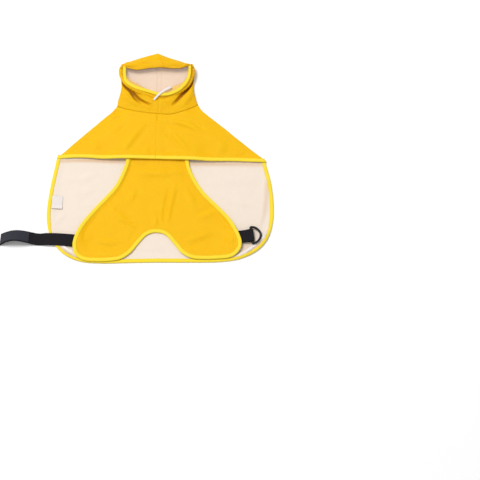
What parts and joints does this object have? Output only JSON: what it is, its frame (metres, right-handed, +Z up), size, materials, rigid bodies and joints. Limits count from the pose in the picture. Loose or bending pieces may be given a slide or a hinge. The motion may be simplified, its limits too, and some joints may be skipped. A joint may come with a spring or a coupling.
{
  "type": "dog raincoat",
  "caption": "Hooded dog raincoat laid flat belly side up, with a belly panel, clear hood visor, belly strap and a plastic ring.",
  "frame": {"origin": "on the centre line of the back, half way down it, on the surface that the coat lies on", "axes": "+X across the coat to the ring's side, +Y along the back to the hood, +Z up from the surface, out of the belly side"},
  "size_m": [0.5426, 0.4482, 0.0214],
  "materials": {
    "coated_cloth": "coated woven cloth, soft sheen, cream brushed inner face",
    "lemon_binding": "ribbed knitted tape, matte",
    "black_webbing": "ribbed woven webbing, matte",
    "black_hook_tape": "hook tape, matte",
    "black_plastic": "moulded, satin",
    "white_tape": "woven tape, blank, matte",
    "clear_sheet": "clear soft sheet, glossy"
  },
  "bodies": {
    "coat": {"cape": "coated_cloth", "cape_binding": "lemon_binding", "belly_panel": "coated_cloth", "belly_binding": "lemon_binding", "hood_left": "coated_cloth", "hood_right": "coated_cloth", "hood_casing": "coated_cloth", "visor": "clear_sheet", "visor_binding": "lemon_binding", "leash_flap": "coated_cloth", "flap_binding": "lemon_binding", "belly_strap": "black_webbing", "hook_patch": "black_hook_tape", "ring_loop": "black_webbing", "care_label": "white_tape", "throat_tape": "white_tape"},
    "ring": {"d_ring": "black_plastic"}
  },
  "joints": [
    {"name": "ring_swing", "type": "hinge", "parent": "coat", "child": "ring", "pos_m": [0.1878, -0.0766, 0.00812], "axis": [0.1219, -0.9925, 0], "range_deg": [0, 150]}
  ]
}
